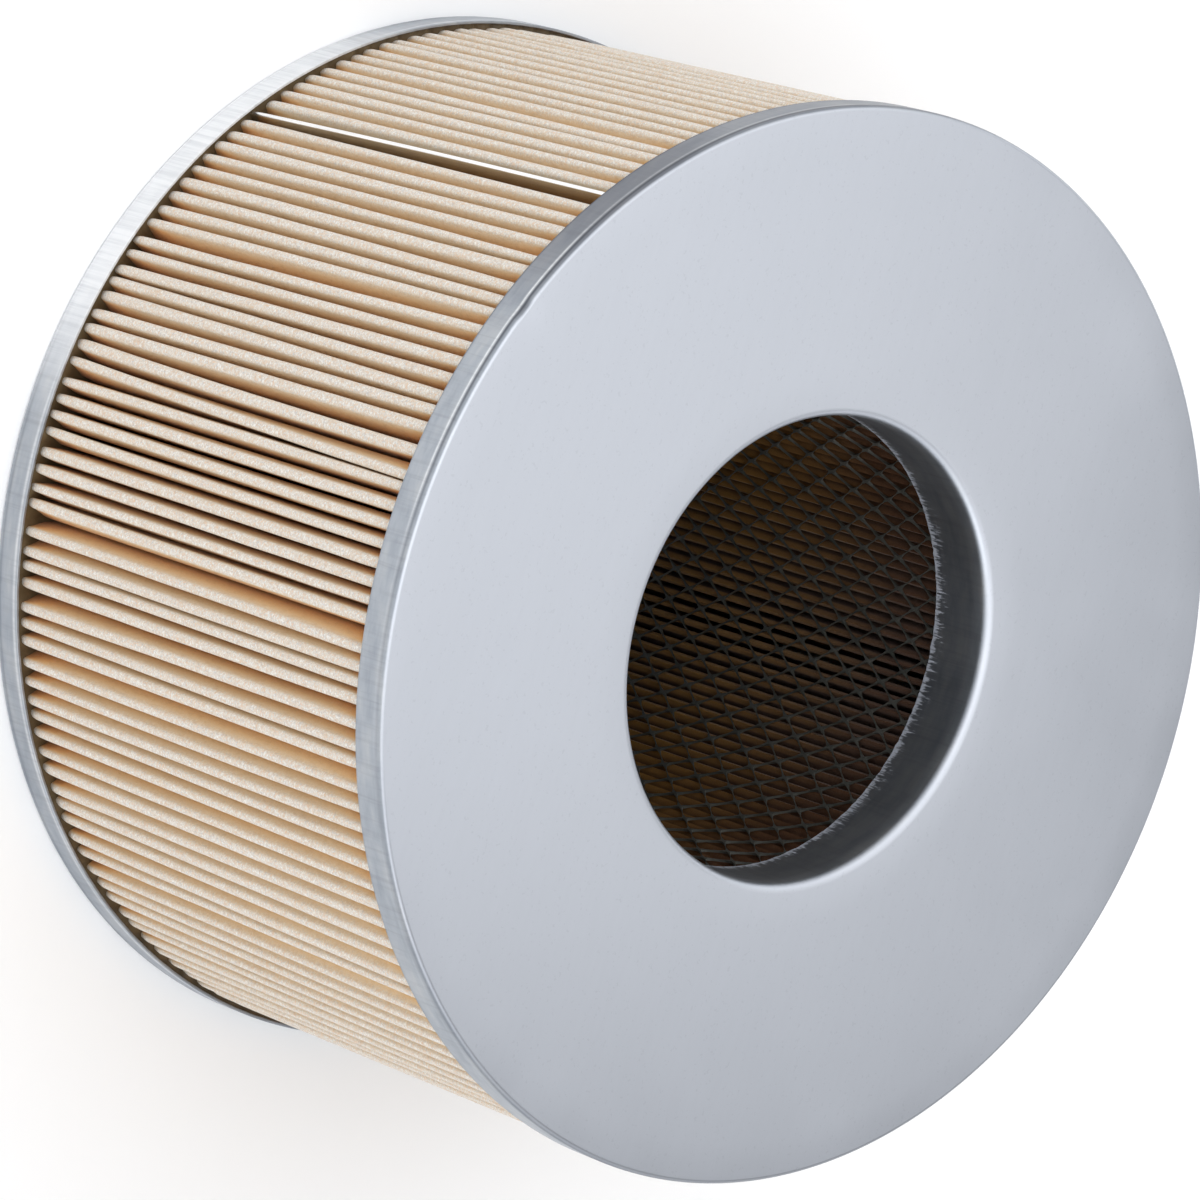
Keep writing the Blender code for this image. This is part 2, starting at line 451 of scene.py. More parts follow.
def cap_material():
    """Satin zinc-coated sheet: faint clouds and tiny specks, duller and darker where it was drawn, the
    darkness partly painted shade. Painted dark lines and painted highlight lines run round the bend and the
    rims, painted shade darkens stretches of the rim, and the neck has scratches and a torn, frosty edge."""
    nodes = Nodes("satin_zinc_sheet")
    grain = nodes.noise(nodes.place((90.0, 500.0, 500.0)), 1.0, 2.0, 0.6)
    clouds = nodes.noise(nodes.place(), 22.0, 3.0, 0.55)
    specks = nodes.noise(nodes.place(), 1100.0, 1.0, 0.5)
    patches = nodes.noise(nodes.place((1.0, 1.0, 3.0)), 75.0, 3.0, 0.6)
    scratches = nodes.noise(nodes.place((700.0, 700.0, 25.0)), 1.0, 3.0, 0.7)
    drawn_and_shaded = nodes.attribute("drawn_and_shaded")
    colour = nodes.mix(nodes.spread(clouds, 0.35, 0.7, 0.0, 0.10), (0.63, 0.66, 0.72), (0.72, 0.74, 0.78))
    grained = nodes.mix(nodes.spread(grain, 0.35, 0.65, 0.0, 0.03), colour, (0.42, 0.44, 0.48))
    specked = nodes.mix(nodes.spread(specks, 0.66, 0.74, 0.0, 0.12), grained, (0.30, 0.32, 0.36))
    # Darker, duller tones for the drawn sheet: real drawing marks, and partly painted shade for the darker
    # surroundings that the rim mirrors
    dull_and_shaded_tones = [(0.30, (0.32, 0.35, 0.39)), (0.48, (0.38, 0.41, 0.45)), (0.72, (0.46, 0.48, 0.50))]
    dull_and_shaded = nodes.ramp(patches, dull_and_shaded_tones)
    scored = nodes.mix(nodes.spread(scratches, 0.5, 0.7, 0.0, 0.35), dull_and_shaded, (0.26, 0.27, 0.30))
    sides = nodes.mix(drawn_and_shaded, specked, scored)
    # Painted shade: a dark tone laid over stretches of the rim, the dent, and the bend and the lip where it
    # damps their highlights
    shade_painted = nodes.mix(nodes.attribute("painted_shade"), sides, (0.10, 0.104, 0.122))
    # Painted dark lines: a painted dark reflection round the bend, a painted shadow along the rim's edge,
    # and painted shade down the neck
    dark_marked = nodes.mix(nodes.attribute("painted_dark_marks"), shade_painted, (0.06, 0.065, 0.08))
    # Painted highlight lines, broken up by the real scratches
    streaks = nodes.spread(scratches, 0.38, 0.62, 1.0, 0.75)
    highlight_share = nodes.sum(nodes.attribute("painted_highlight"), streaks, "MULTIPLY")
    highlighted = nodes.mix(highlight_share, dark_marked, (0.87, 0.88, 0.89))
    teeth = nodes.noise(nodes.place((2400.0, 2400.0, 220.0)), 1.0, 2.0, 0.7)
    torn = nodes.sum(nodes.attribute("burr"), nodes.spread(teeth, 0.36, 0.64, -0.55, 0.35))
    frost = nodes.spread(torn, 0.40, 0.64, 0.0, 0.85)
    edged = nodes.mix(frost, highlighted, (0.50, 0.53, 0.60))
    rough = nodes.sum(nodes.spread(clouds, 0.3, 0.7, 0.34, 0.42), nodes.spread(drawn_and_shaded, 0.0, 1.0, 0.0, 0.05))
    metallic = nodes.spread(nodes.sum(frost, highlight_share), 0.0, 1.0, 0.9, 0.2)
    fine = nodes.bump(grain, 0.03, 0.0001)
    scored_normal = nodes.bump(nodes.sum(scratches, drawn_and_shaded, "MULTIPLY"), 0.15, 0.0002, fine)
    normal = nodes.bump(clouds, 0.05, 0.001, scored_normal)
    return nodes.finish(Base_Color=edged, Roughness=rough, Metallic=metallic, Normal=normal)


def speckle(nodes, pattern, where, low, high, strength):
    """How much of a speckle's colour shows: strongest where the pattern nears the high value."""
    return nodes.sum(nodes.spread(pattern, low, high, 0.0, strength), where, "MULTIPLY")


def paper_material():
    """Creped filter paper: cream fibres on the ridges; down in the folds it is painted warmer, browner and
    darker, as painted shade and painted bounce light.
    """
    nodes = Nodes("creped_paper")
    depth = nodes.attribute("depth")
    fibres = nodes.noise(nodes.place((0.7, 0.7, 1.0)), 2300.0, 2.0, 0.8)
    flecks = nodes.noise(nodes.place((1.3, 1.3, 1.0)), 1500.0, 2.0, 0.7)
    blotches = nodes.noise(nodes.place((1.0, 1.0, 0.3)), 60.0, 3.0, 0.6)
    mottle = nodes.noise(nodes.place((1.0, 1.0, 0.6)), 750.0, 3.0, 0.7)
    # Colour by depth below the ridge: past the ridge the darkening is painted shade and the orange is
    # painted bounce light; the inner folds seen through the tube are a painted dim brown
    base = nodes.ramp(
        depth,
        [
            (0.0, (0.635, 0.605, 0.545)),
            (0.007, (0.66, 0.605, 0.51)),
            (0.018, (0.71, 0.58, 0.40)),
            (0.045, (0.76, 0.53, 0.28)),
            (0.085, (0.76, 0.43, 0.16)),
            (0.16, (0.60, 0.27, 0.07)),
            (0.55, (0.32, 0.12, 0.03)),
            (0.80, (0.11, 0.035, 0.01)),
            (0.96, (0.075, 0.025, 0.004)),
            (1.0, (0.30, 0.148, 0.024)),
        ],
    )
    on_ridge = nodes.spread(depth, 0.004, 0.03, 1.0, 0.12)
    cool = nodes.mix(speckle(nodes, flecks, on_ridge, 0.50, 0.64, 0.60), base, (0.40, 0.41, 0.43))
    warm = nodes.mix(speckle(nodes, fibres, on_ridge, 0.50, 0.66, 0.65), cool, (0.74, 0.46, 0.26))
    pale = nodes.mix(speckle(nodes, fibres, on_ridge, 0.48, 0.36, 0.60), warm, (0.88, 0.86, 0.82))
    shaded = nodes.mix(nodes.spread(blotches, 0.3, 0.7, 0.08, 0.0), pale, (0.46, 0.30, 0.16))
    mottled = nodes.mix(nodes.spread(mottle, 0.50, 0.68, 0.0, 0.30), shaded, (0.56, 0.36, 0.18))
    # Deep down only the painted-shade colour shows
    deep_shade_painted = nodes.mix(nodes.spread(depth, 0.6, 1.0), mottled, base)
    height = nodes.sum(fibres, nodes.spread(blotches, 0.0, 1.0, 0.0, 0.5))
    normal = nodes.bump(height, 0.5, 0.0003)
    rough = nodes.spread(fibres, 0.3, 0.7, 0.85, 1.0)
    nodes.finish(Specular_IOR_Level=0.15, Sheen_Weight=0.1, Sheen_Roughness=0.6)
    return nodes.finish(Base_Color=deep_shade_painted, Roughness=rough, Normal=normal)


def strip_material():
    """Bright rolled steel strip with fine lines along it, painted dark brown on its sides as painted shade
    between the pleats.
    """
    nodes = Nodes("bright_strip")
    lines = nodes.noise(nodes.place((2500.0, 2500.0, 40.0)), 1.0, 2.0, 0.6)
    smears = nodes.noise(nodes.place((1.0, 1.0, 0.2)), 120.0, 2.0, 0.5)
    colour = nodes.mix(nodes.spread(lines, 0.35, 0.7), (0.95, 0.95, 0.94), (0.80, 0.80, 0.80))
    # Painted shade on the channel's sides
    side_shaded = nodes.mix(nodes.attribute("side"), colour, (0.10, 0.075, 0.05))
    rough = nodes.spread(smears, 0.3, 0.7, 0.12, 0.22)
    normal = nodes.bump(lines, 0.1, 0.0001)
    return nodes.finish(Base_Color=side_shaded, Roughness=rough, Metallic=1.0, Normal=normal)


def expanded_material():
    """Dull grey expanded steel: slit edges, a dusty film and a few darker stains."""
    nodes = Nodes("expanded_steel")
    stains = nodes.noise(nodes.place(), 90.0, 3.0, 0.6)
    fine = nodes.noise(nodes.place(), 1600.0, 2.0, 0.6)
    colour = nodes.ramp(stains, [(0.3, (0.085, 0.09, 0.08)), (0.7, (0.15, 0.15, 0.135))])
    dusty = nodes.mix(nodes.spread(fine, 0.5, 0.75, 0.0, 0.3), colour, (0.24, 0.235, 0.21))
    rough = nodes.spread(fine, 0.3, 0.7, 0.42, 0.6)
    normal = nodes.bump(fine, 0.2, 0.0002)
    return nodes.finish(Base_Color=dusty, Roughness=rough, Metallic=0.7, Normal=normal)


def adhesive_material():
    """Set brown potting adhesive, slightly glossy, with small pits and a cloudy tone."""
    nodes = Nodes("potting_adhesive")
    cloudy = nodes.noise(nodes.place(), 140.0, 3.0, 0.6)
    pits = nodes.noise(nodes.place(), 900.0, 2.0, 0.6)
    colour = nodes.ramp(cloudy, [(0.25, (0.075, 0.052, 0.025)), (0.75, (0.17, 0.12, 0.06))])
    rough = nodes.spread(cloudy, 0.3, 0.7, 0.38, 0.55)
    height = nodes.sum(cloudy, nodes.spread(pits, 0.3, 0.7, 0.0, 0.5))
    return nodes.finish(Base_Color=colour, Roughness=rough, Normal=nodes.bump(height, 0.4, 0.0004))


def floor_material():
    nodes = Nodes("studio_floor")
    tone = nodes.noise(nodes.place(), 3.0, 2.0, 0.5)
    colour = nodes.ramp(tone, [(0.3, (0.95, 0.95, 0.95)), (0.7, (0.97, 0.97, 0.97))])
    return nodes.finish(Base_Color=colour, Roughness=0.9, Specular_IOR_Level=0.1)


# ---------------------------------------------------------------- caps


def write_attribute(piece, name, values):
    """Stores one number per point, for the piece's material."""
    attribute = piece.data.attributes.new(name, "FLOAT", "POINT")
    attribute.data.foreach_set("value", values)


def mark_cap(piece, marks):
    """Stores each mark's strength (0 to 1) from every point's radius, height and angle."""
    for name, strength in marks.items():
        values = []
        for vertex in piece.data.vertices:
            angle = math.atan2(vertex.co.y, vertex.co.x)
            values.append(strength(math.hypot(vertex.co.x, vertex.co.y), vertex.co.z, angle))
        write_attribute(piece, name, values)


def line_at(value, middle, width):
    """Strength of a thin line, 1 on its middle."""
    return math.exp(-(((value - middle) / width) ** 2))


def ramp_between(value, low, high):
    """0 below the low value, 1 above the high one."""
    return min(1.0, max(0.0, (value - low) / (high - low)))


def wrapped(angle):
    """The same angle between minus and plus half a turn."""
    return (angle + math.pi) % TURN - math.pi


def stretch_of_rim(angle, middle, reach):
    """1 along a stretch of the rim (middle and reach in degrees), falling to 0 past its ends."""
    away = wrapped(angle - math.radians(middle)) / math.radians(reach)
    return math.exp(-(away**6))


def past_face(radius):
    """0 on the flat face, 1 from a little way round the bend."""
    return ramp_between(radius, OUTER_RADIUS - CORNER_RADIUS, OUTER_RADIUS - 0.7 * CORNER_RADIUS)


def shape_front_cap(radius, height, angle):
    """Small faults of the front cap: a dent in the corner and a torn edge on the neck."""
    away = wrapped(angle - DENT_ANGLE)
    corner = ramp_between(radius, OUTER_RADIUS - 2 * CORNER_RADIUS, OUTER_RADIUS - 0.5 * CORNER_RADIUS)
    corner *= ramp_between(height, LENGTH - 4 * CORNER_RADIUS, LENGTH - 1.0 * CORNER_RADIUS)
    dent = DENT_DEPTH * line_at(away, 0.0, DENT_REACH) * corner
    if height < NECK_EDGE + TORN_EDGE:
        height += COARSE_TEETH * noise.noise(Vector((*at(COARSE_TEETH_PLACE, angle), 0.0)))
        height += FINE_TEETH * noise.noise(Vector((*at(FINE_TEETH_PLACE, angle), 5.0)))
    return radius - dent, height - DENT_SINKING * dent


def make_front_cap(material):
    """One pressing: rim, rounded corner, flat ring, and the lip and neck round the hole."""
    corner = (OUTER_RADIUS - CORNER_RADIUS, LENGTH - CORNER_RADIUS)
    lip = (NECK_RADIUS + LIP_RADIUS, LENGTH - LIP_RADIUS)
    rim_outer = (OUTER_RADIUS, FRONT_RIM_EDGE + EDGE_ROUND)
    rim_inner = (OUTER_RADIUS - SHEET, FRONT_RIM_EDGE + EDGE_ROUND)
    profile = arc(corner, CORNER_RADIUS, 90, 0)
    profile += straight(profile[-1], rim_outer, RIM_STEPS)
    profile += [rim_outer, (OUTER_RADIUS - EDGE_ROUND, FRONT_RIM_EDGE)]
    profile += [(OUTER_RADIUS - SHEET + EDGE_ROUND, FRONT_RIM_EDGE), rim_inner]
    profile += arc(corner, CORNER_RADIUS - SHEET, 0, 90, INSIDE_BEND_STEPS)
    profile += arc(lip, LIP_RADIUS - SHEET, 90, 180, INSIDE_BEND_STEPS)
    profile += [(NECK_RADIUS + SHEET, NECK_EDGE + NECK_EDGE_BAND), (NECK_RADIUS + SHEET, NECK_EDGE)]
    profile += [(NECK_RADIUS, NECK_EDGE + up) for up in NECK_EDGE_RINGS]
    profile += straight(profile[-1], (NECK_RADIUS, LENGTH - LIP_RADIUS), NECK_STEPS)
    profile += arc(lip, LIP_RADIUS, 180, 90)
    profile += straight(profile[-1], (corner[0], LENGTH), FACE_STEPS)
    cap = turned("front_cap_pressing", profile, material, shape=shape_front_cap)

    # Drawn sheet on the rim and the neck; its darker tone is partly painted shade
    def drawn_and_shaded(radius, height, angle):
        if radius < MID_FACE_RADIUS:
            return ramp_between(LENGTH - height, 0.05 * LIP_RADIUS, 0.60 * LIP_RADIUS)
        return past_face(radius) * ramp_between(LENGTH - height, 0.0, DRAWN_FADE)

    # Painted dark marks: a painted dark reflection line round the bend, a painted shadow along the rim's
    # edge, and painted shade down the neck
    def painted_dark_marks(radius, height, angle):
        if radius < MID_FACE_RADIUS:
            return 0.35 * ramp_between(LENGTH - height, LIP_RADIUS, 2 * LIP_RADIUS)
        strength = 0.12 + 0.84 * stretch_of_rim(angle, *PAINTED_LINES_RIM)
        edge_shadow = 0.25 + 0.70 * stretch_of_rim(angle, *RIM_EDGE_SHADOW)
        edge_shadow *= line_at(height, FRONT_RIM_EDGE, DARK_LINE_WIDTH)
        return max(edge_shadow, strength * line_at(height, LENGTH - DARK_LINE_DEPTH, DARK_LINE_WIDTH))

    # Painted highlight line round the rim
    def painted_highlight(radius, height, angle):
        if radius < MID_FACE_RADIUS:
            return 0.0
        strength = 0.06 + 0.20 * stretch_of_rim(angle, *PAINTED_LINES_RIM)
        strength += 0.55 * stretch_of_rim(angle, *HIGHLIGHT_LINE_RIM)
        return strength * line_at(height, LENGTH - HIGHLIGHT_LINE_DEPTH, HIGHLIGHT_LINE_WIDTH)

    def burr(radius, height, angle):
        return 1 - ramp_between(height, NECK_EDGE, NECK_EDGE + BURR_REACH)

    # Painted shade on stretches of the rim and in the dent, and over the bend and the lip to damp their
    # highlights
    def painted_shade(radius, height, angle):
        if radius < MID_FACE_RADIUS:
            below_face = (LENGTH - height) / LIP_RADIUS
            on_lip = ramp_between(below_face, 0.0, 0.1) - ramp_between(below_face, 0.8, 1.0)
            return 0.20 * stretch_of_rim(angle, *LIP_SHADE_PAINT) * on_lip
        bend = ramp_between(height, LENGTH - 1.2 * CORNER_RADIUS, LENGTH - 0.7 * CORNER_RADIUS)
        bend *= past_face(radius)
        sides = 0.50 * stretch_of_rim(angle, *SHADED_RIM_PAINT) + 0.20 * stretch_of_rim(angle, *DARKEST_SHADE_PAINT)
        at_dent = line_at(wrapped(angle - DENT_ANGLE), 0.0, DENT_SHADE_REACH)
        upper, lower = DENT_SHADE_DEPTHS
        sides += 0.5 * at_dent * ramp_between(height, LENGTH - lower, LENGTH - upper)
        sides *= drawn_and_shaded(radius, height, angle)
        return sides + 0.42 * stretch_of_rim(angle, *CORNER_SHADE_PAINT) * bend

    mark_cap(cap, {"drawn_and_shaded": drawn_and_shaded, "painted_dark_marks": painted_dark_marks, "painted_highlight": painted_highlight, "burr": burr, "painted_shade": painted_shade})
    return cap


def make_back_cap(material):
    """Closed plain disc with a rounded corner and a rim."""
    corner = (OUTER_RADIUS - CORNER_RADIUS, CORNER_RADIUS)
    profile = [(0.0, SHEET)]
    profile += arc(corner, CORNER_RADIUS - SHEET, -90, 0, INSIDE_BEND_STEPS)
    profile += [(OUTER_RADIUS - SHEET, BACK_RIM_EDGE - EDGE_ROUND)]
    profile += [(OUTER_RADIUS - SHEET + EDGE_ROUND, BACK_RIM_EDGE)]
    profile += [(OUTER_RADIUS - EDGE_ROUND, BACK_RIM_EDGE), (OUTER_RADIUS, BACK_RIM_EDGE - EDGE_ROUND)]
    profile += straight(profile[-1], (OUTER_RADIUS, CORNER_RADIUS), RIM_STEPS)
    profile += arc(corner, CORNER_RADIUS, 0, -90)
    profile += [(0.5 * OUTER_RADIUS, 0.0), (0.0, 0.0)]
    cap = turned("back_cap_pressing", profile, material, closed=False)

    # Drawn rim; its darker tone is partly painted shade
    def drawn_and_shaded(radius, height, angle):
        return ramp_between(height, 0.0, DRAWN_FADE)

    # Painted dark reflection line round the back rim
    def painted_dark_marks(radius, height, angle):
        return 0.3 * line_at(height, BACK_DARK_LINE_DEPTH, BACK_LINE_WIDTH)

    # Painted highlight: a stretch of the back rim, and a line round it
    def painted_highlight(radius, height, angle):
        highlight_share = 0.85 * stretch_of_rim(angle, *BACK_RIM_HIGHLIGHT) * drawn_and_shaded(radius, height, angle)
        return max(highlight_share, 0.5 * line_at(height, BACK_RIM_EDGE - BACK_HIGHLIGHT_DEPTH, BACK_LINE_WIDTH))

    mark_cap(cap, {"drawn_and_shaded": drawn_and_shaded, "painted_dark_marks": painted_dark_marks, "painted_highlight": painted_highlight})
    return cap


# ---------------------------------------------------------------- pleats


def crowded(angle):
    """An evenly spaced angle, moved so that the pleats stand closer together on the crowded side."""
    return angle - CROWDING * math.sin(angle - CROWDED_SIDE)


def pleat_angle(number):
    """Angle of a ridge. Ridge 0 is the seam; halves are the valleys between ridges."""
    even = SEAM_ANGLE + TURN * number / PLEAT_COUNT
    return SEAM_ANGLE + crowded(even) - crowded(SEAM_ANGLE)


def pushed_aside(angle, share):
    """How far open valleys and leaning places move a ridge round the ring, at a share of the height."""
    total = 0.0
    for place, width in OPEN_VALLEYS:
        away = wrapped(angle - math.radians(place)) * PLEAT_RADIUS
        total += math.tanh(away / PUSH_START) * math.exp(-((away / PUSH_REACH) ** 2)) * width / 2
    for place, reach, lean in LEANS:
        away = math.degrees(wrapped(angle - math.radians(place)))
        total += lean * (share - 0.5) * math.exp(-((away / reach) ** 2))
    return total


def pleat_levels(height):
    """Shares of the height, closer together near the ends, where the pleats are pinched and rounded."""
    lower = [0.0]
    for step in range(LEVEL_STEPS):
        place = TIP_DEPTH + (height / 2 - TIP_DEPTH) * (step / LEVEL_STEPS) ** LEVEL_CROWDING
        lower.append(place / height)
    return lower + [0.5] + [1 - share for share in reversed(lower)]


def pleat_habits():
    """How each pleat differs from its neighbours."""
    habits = []
    while len(habits) < PLEAT_COUNT:
        habits.append({name: random.gauss(0, spread) for name, spread in HABIT_SPREADS.items()})
    return habits


def ridge_outline(radius, half):
    """(radius, sideways) points over a ridge from its left flank to its right: two rounded shoulders."""
    bend = min(RIDGE_ROUND, ROUNDEST_RIDGE * half)
    shoulder = []
    for angle in SHOULDER_ANGLES:
        turn = math.radians(angle)
        drop, width = bend * (1 - math.sin(turn)), half - bend * (1 - math.cos(turn))
        shoulder.append((radius - drop, width))
    return [(place, -width) for place, width in shoulder] + list(reversed(shoulder))


def wall(top, ridge, half, valley):
    """Points down the wall of a pleat. It spreads below the ridge until it nearly meets its neighbour."""
    root = FOLD_RADIUS + PAPER + ROOT_ROUND
    points = []
    for step in range(WALL_STEPS + 1):
        radius = top - (top - root) * (step / WALL_STEPS) ** 2
        spread = ramp_between(top - radius, 0.0, SPREAD_REACH)
        spread *= spread * (3 - 2 * spread)
        gap = VALLEY_HALF + (ROOT_HALF - VALLEY_HALF) * (step / WALL_STEPS) ** 4
        below_ridge = Vector(at(radius, ridge, half))
        beside_valley = Vector(at(radius, valley, -math.copysign(gap, half)))
        points.append(tuple(below_ridge.lerp(beside_valley, spread**SPREAD_CURVE)))
    return points


def pleat_section(number, share, height, habits):
    """Points of one pleat's outer surface at a share of its height, from one valley up to the next."""
    habit, last_habit = habits[number], habits[number - 1]
    middle_ridge = pleat_angle(number)
    left = pleat_angle(number - 0.5) + last_habit["valley"] / OUTER_RADIUS
    right = pleat_angle(number + 0.5) + habit["valley"] / OUTER_RADIUS
    from_end = min(share, 1 - share) * height
    pinch = math.exp(-from_end / PINCH_REACH)
    tip = math.exp(-max(0.0, from_end - TIP_DEPTH) / TIP_REACH)
    half = (RIDGE_HALF + habit["wide"]) * (1 - PINCH_NARROWING * pinch * pinch)
    radius = PLEAT_RADIUS + habit["rise"] - RIDGE_SINKING - PINCH_DROP * pinch - TIP_DROP * tip
    aside = habit["shift"] + habit["lean"] * (2 * share - 1) + habit["bow"] * math.sin(math.pi * share)
    aside += pushed_aside(middle_ridge, share)
    aside += RIDGE_WANDER * noise.noise(Vector((number * WANDER_STRIDE, share * WANDER_WAVES, 1.0)))
    if number == 0:
        half, aside, radius = SEAM_RIDGE_HALF, 0.0, PLEAT_RADIUS - SEAM_RIDGE_DROP
    ridge = middle_ridge + aside / PLEAT_RADIUS
    top = radius - RIDGE_ROUND
    points = [at(FOLD_RADIUS + PAPER, left)]
    points += reversed(wall(top, ridge, -half, left))
    points += [at(out, ridge, side) for out, side in ridge_outline(radius, half)]
    points += wall(top, ridge, half, right)
    return points, radius, pinch


def make_pleats(material):
    """One strip of paper, folded into ridges. Its ends stand in the adhesive of both caps."""
    bottom = POTTING_TOP - BURIED_END
    top = LENGTH - POTTING_TOP + BURIED_END
    habits = pleat_habits()
    points, depths = [], []
    levels = pleat_levels(top - bottom)
    for share in levels:
        height = bottom + (top - bottom) * share
        for number in range(PLEAT_COUNT):
            section, radius, pinch = pleat_section(number, share, top - bottom, habits)
            for x, y in section:
                points.append((x, y, height))
                below = radius - math.hypot(x, y)
                # Painted shade below the ridges near the pinched ends, and on the inner folds towards the
                # open end
                pinch_shade = PINCH_SHADING * pinch * ramp_between(below, *PINCH_SHADE_DEPTHS)
                deepest = 1.0 - SHADING * ramp_between(share, *SHADED_SHARES)
                depths.append(min(deepest, pinch_shade + ramp_between(below, 0.0, FOLD_DEPTH)))
    faces = stacked_faces(len(levels) - 1, len(points) // len(levels))
    pleats = add_mesh("paper_pleats", points, faces, material, smooth_angle=80)
    write_attribute(pleats, "depth", depths)
    thickness = pleats.modifiers.new("paper", "SOLIDIFY")
    thickness.thickness = PAPER
    thickness.offset = -1.0
    return pleats


# ---------------------------------------------------------------- seam channel, tube and adhesive


def channel_loop():
    """(radius, sideways) points round the channel's section: outside over the crown, then back inside."""
    middle, half = CHANNEL_CROWN - CHANNEL_BEND, CHANNEL_HALF - CHANNEL_BEND
    outline = [(CHANNEL_CROWN - CHANNEL_DEPTH, CHANNEL_HALF)]
    for step in range(CHANNEL_BEND_STEPS + 1):
        angle = math.radians(90 * step / CHANNEL_BEND_STEPS)
        outline.append((middle + CHANNEL_BEND * math.sin(angle), half + CHANNEL_BEND * math.cos(angle)))
    outline += [(radius, -side) for radius, side in reversed(outline)]
    wall_half = CHANNEL_HALF - CHANNEL_SHEET
    inside = [(CHANNEL_CROWN - CHANNEL_DEPTH, wall_half), (CHANNEL_CROWN - CHANNEL_SHEET, wall_half)]
    inside += [(radius, -side) for radius, side in reversed(inside)]
    return outline + list(reversed(inside))


def make_seam_channel(material):
    """U channel over the seam ridge, with a rounded crown."""
    loop = channel_loop()
    bottom = POTTING_TOP - CHANNEL_BURIED
    top = LENGTH - POTTING_TOP + CHANNEL_BURIED
    points = []
    for level in range(CHANNEL_LEVELS + 1):
        share = level / CHANNEL_LEVELS
        lean = CHANNEL_LEAN * (1 - 2 * share) - CHANNEL_BOW * math.sin(math.pi * share)
        for radius, side in loop:
            points.append((*at(radius, SEAM_ANGLE, side + lean), bottom + (top - bottom) * share))
    count = len(loop)
    faces = stacked_faces(CHANNEL_LEVELS, count)
    faces.append(tuple(range(count)))
    faces.append(tuple(CHANNEL_LEVELS * count + i for i in range(count)))
    channel = add_mesh("seam_channel", points, faces, material, smooth_angle=40)
    face_outwards(channel)
    # Shares of painted shade down the channel's sides
    sides = []
    for vertex in channel.data.vertices:
        below_crown = CHANNEL_CROWN - math.hypot(vertex.co.x, vertex.co.y)
        sides.append(ramp_between(below_crown, *CHANNEL_SHADE_DEPTHS))
    write_attribute(channel, "side", sides)
    return channel


def cell_outline(half_width, half_height):
    """(sideways, up) points round one cell: upright sides as long as a knot, and slanting strands."""
    side = [(half_width, 0.0), (half_width, KNOT / 2)]
    apex = (0.0, half_height - KNOT / 2)
    slant = ((side[1][0] + apex[0]) / 2, (side[1][1] + apex[1]) / 2)
    quarter = side + [slant, apex]
    upper = quarter + [(-x, y) for x, y in reversed(quarter[:-1])]
    return upper + [(x, -y) for x, y in reversed(upper[1:-1])]


def hole_outline(half_width, half_height, steps):
    """(sideways, up) points round a hole: a diamond with rounded corners."""
    points = []
    for step in range(steps):
        across, up = math.cos(TURN * step / steps), math.sin(TURN * step / steps)
        x = math.copysign(abs(across) ** HOLE_ROUNDNESS, across) * half_width
        y = math.copysign(abs(up) ** HOLE_ROUNDNESS, up) * half_height
        points.append((x, y))
    return points


def make_expanded_tube(material):
    """Rolled expanded metal: staggered diamond holes, joined by short upright knots."""
    low, high = tube_low.z, tube_high.z
    radius = TUBE_RADIUS - MESH_THICKNESS
    column_step = TURN / MESH_COLUMNS / 2
    half_width = radius * column_step
    half_height = (high - low) / MESH_ROWS / 2
    cell = cell_outline(half_width, half_height)
    sides = len(cell)
    hole_half_height = half_height - KNOT / 2 - STRAND_RISE * STRAND
    hole = hole_outline(half_width - STRAND_REACH * STRAND, hole_half_height, sides)
    raised_hole = [(x, y + STRAND_SLANT) for x, y in hole]
    rings = [(cell, 0.0), (hole, 0.0), (raised_hole, MESH_THICKNESS), (cell, MESH_THICKNESS)]
    points, faces = [], []
    for column in range(2 * MESH_COLUMNS):
        for row in range(math.ceil(2 * MESH_ROWS) + 1):
            if (column + row) % 2 == 0:
                continue
            start = len(points)
            for ring, out in rings:
                for x, y in ring:
                    angle = column * column_step + x / radius
                    height = min(high, max(low, low + row * half_height + y))
                    wave = TUBE_WAVE * noise.noise(Vector((*at(WAVES_AROUND, angle), height * WAVES_ALONG)))
                    points.append((*at(radius + out + wave, angle), height))
            for ring in range(3):
                here = start + ring * sides
                for i in range(sides):
                    j = (i + 1) % sides
                    faces.append((here + i, here + j, here + sides + j, here + sides + i))
    tube = add_mesh("expanded_metal_tube", points, faces, material, smooth_angle=50)
    face_outwards(tube)
    return tube


def make_potting(name, material, level, upwards, inner_radius):
    """Adhesive ring whose free surface climbs a little wherever it touches the paper. The surface faces
    up where upwards is 1 and down where it is -1."""
    steps = PLEAT_COUNT * POTTING_STEPS
    width = OUTER_RADIUS - SHEET - inner_radius
    radii = [inner_radius, inner_radius + POTTING_LOW_EDGE]
    radii += [inner_radius + width * share for share in POTTING_SHARES]
    points = []
    for step in range(steps):
        number = step / POTTING_STEPS
        angle = pleat_angle(number)
        climb = 0.5 + 0.5 * math.cos(TURN * number)
        for place, radius in enumerate(radii):
            rough = noise.noise(Vector((*at(POTTING_GRAIN * radius, angle), 2.0)))
            height = POTTING_CLIMB * climb + POTTING_ROUGHNESS * rough - POTTING_SINKING
            if place == 0:
                height = -POTTING_LOW_EDGE
            points.append((*at(radius, angle), level + upwards * height))
        points.append((*at(radii[-1], angle), level - upwards * POTTING_BURIED))
        points.append((*at(radii[0], angle), level - upwards * POTTING_BURIED))
    faces = swept_faces(steps, len(radii) + 2)
    ring = add_mesh(name, points, faces, material, smooth_angle=50)
    face_outwards(ring)
    return ring


# ---------------------------------------------------------------- stage, light and camera


